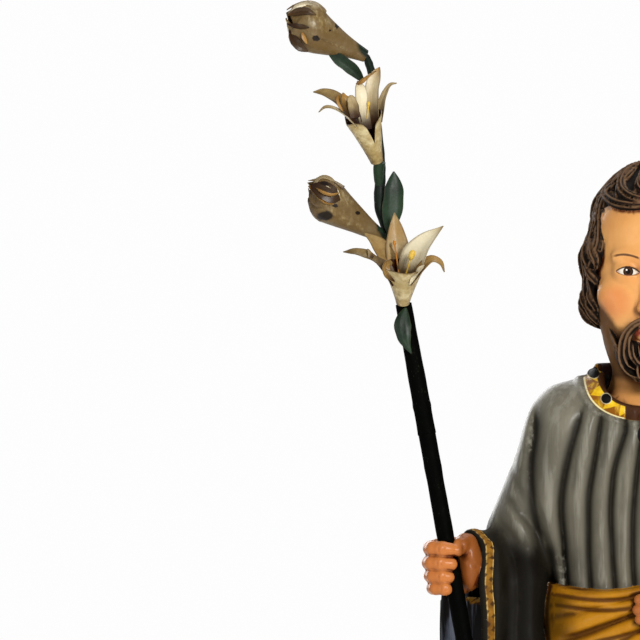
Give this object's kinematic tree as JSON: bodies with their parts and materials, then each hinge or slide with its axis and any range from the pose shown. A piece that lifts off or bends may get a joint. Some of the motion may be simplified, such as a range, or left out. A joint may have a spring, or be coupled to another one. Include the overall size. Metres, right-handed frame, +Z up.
{
  "type": "saint joseph statue",
  "caption": "Painted plaster standing figure of a bearded saint in a grey tunic and ochre mantle, holding a black staff that ends in cream lilies, on a low base.",
  "frame": {"origin": "on the ground, under the middle of the base", "axes": "+Z up; the figure faces -Y; its right hand, with the staff, is at -X"},
  "size_m": [0.4141, 0.2234, 1.0406],
  "materials": {
    "painted_plaster": "oil-painted plaster with brown antiquing and a satin varnish",
    "black_paint": "satin black-green paint",
    "cream_enamel": "satin cream enamel shaded golden brown",
    "green_enamel": "satin dark green enamel"
  },
  "bodies": {
    "root": {"statue": "painted_plaster", "staff_rod": "black_paint", "lily_stem": "green_enamel", "lily_open_lower": "cream_enamel", "lily_open_upper": "cream_enamel", "lily_bud_lower": "cream_enamel", "lily_bud_top": "cream_enamel", "leaf_lower": "green_enamel", "leaf_middle": "green_enamel", "leaf_top": "green_enamel"}
  },
  "joints": []
}
